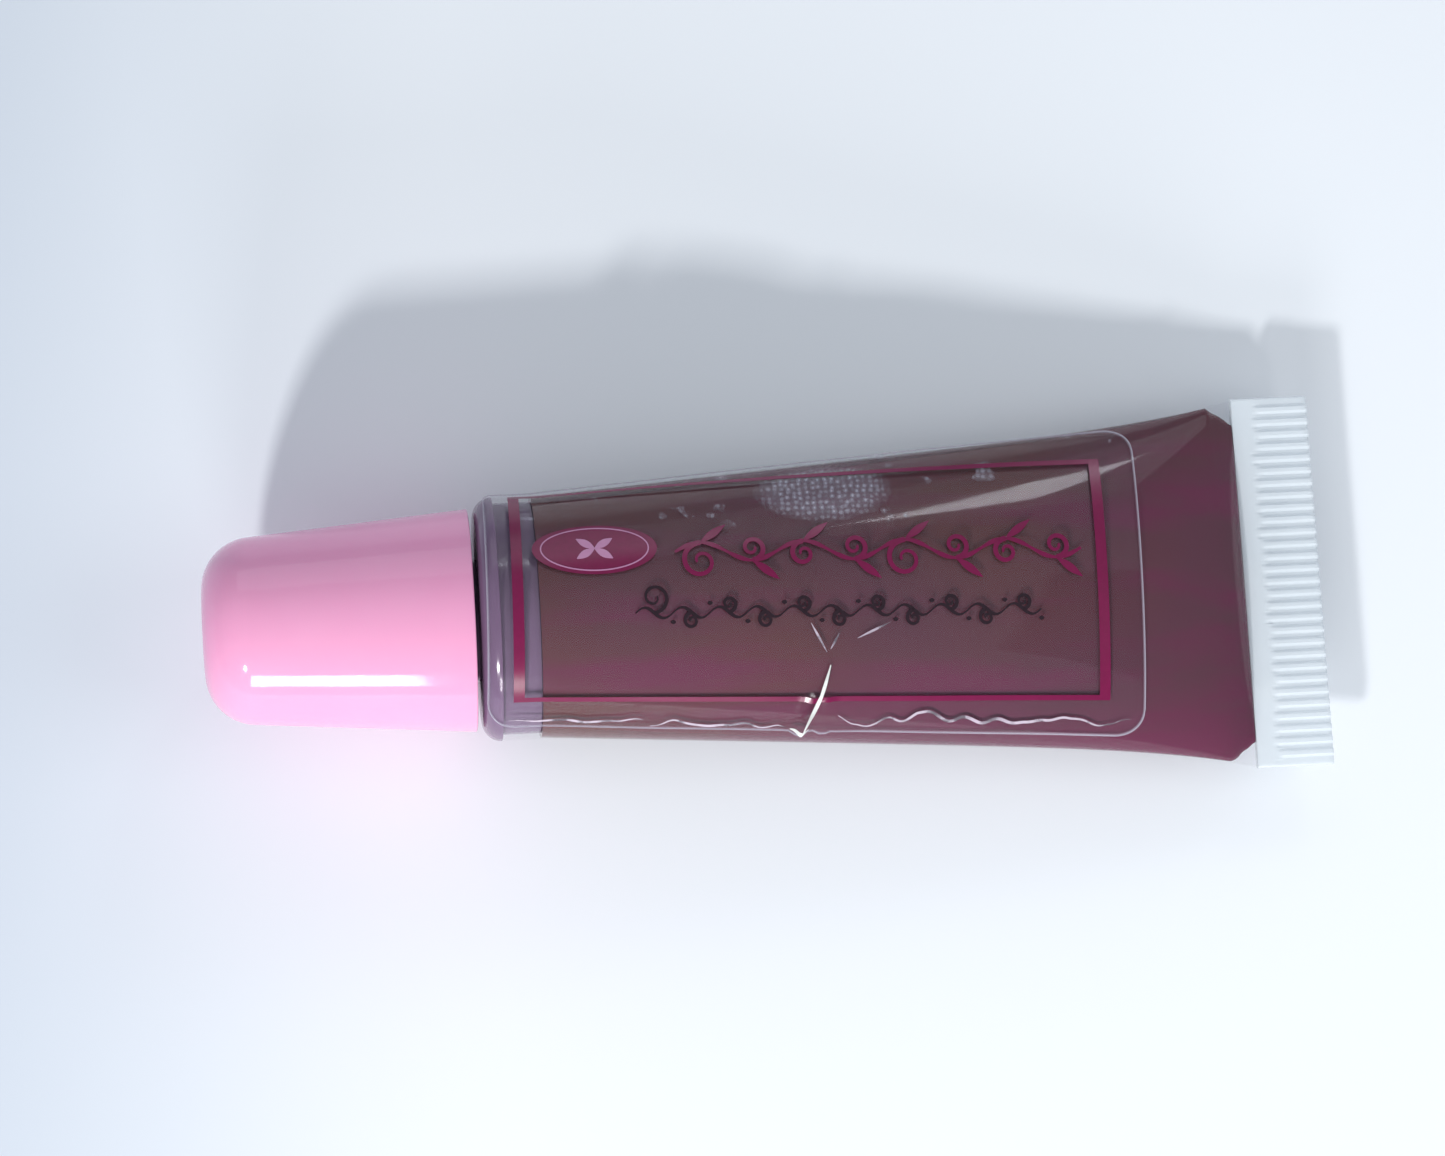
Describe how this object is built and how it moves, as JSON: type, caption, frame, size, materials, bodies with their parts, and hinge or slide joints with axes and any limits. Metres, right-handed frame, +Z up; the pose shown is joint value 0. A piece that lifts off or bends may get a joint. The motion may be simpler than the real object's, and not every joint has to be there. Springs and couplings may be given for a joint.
{
  "type": "lip gloss squeeze tube",
  "caption": "Clear squeeze tube of plum lip gloss lying on its side, with a pink screw cap, a slanted applicator nozzle, a clear wrap label and a flat ribbed tail seal.",
  "frame": {"origin": "on the table, under the middle of the whole tube", "axes": "+X along the tube from the cap to the tail seal, +Z up, +Y across the tube's width"},
  "size_m": [0.088, 0.0294, 0.0193],
  "materials": {
    "clear_polyethylene": "clear extruded film, glossy",
    "natural_polyethylene": "translucent moulding, glossy",
    "plum_gloss": "thick glossy gel",
    "clear_label": "clear printed film, glossy",
    "seal_foam": "matt closed-cell foam",
    "white_polypropylene": "satin moulding",
    "pink_polypropylene": "glossy moulding"
  },
  "bodies": {
    "tube": {"tube_sleeve": "clear_polyethylene", "shoulder_head": "natural_polyethylene", "applicator_nozzle": "natural_polyethylene", "gloss_fill": "plum_gloss", "label_film": "clear_label"},
    "seal": {"seal_ring": "seal_foam"},
    "cap": {"cap_liner": "white_polypropylene", "cap_shell": "pink_polypropylene"}
  },
  "joints": [
    {"name": "cap_lift", "type": "slide", "parent": "tube", "child": "seal", "axis": [-0.9966, 0, 0.0828], "range_m": [0, 0.015]},
    {"name": "cap_turn", "type": "hinge", "parent": "seal", "child": "cap", "pos_m": [-0.02255, 0, 0.00981], "axis": [-0.9966, 0, 0.0828], "range_deg": [0, 1800]}
  ],
  "couplings": [
    {"joint": "cap_lift", "follows": "cap_turn", "m_per_rad": 0.00047746}
  ]
}
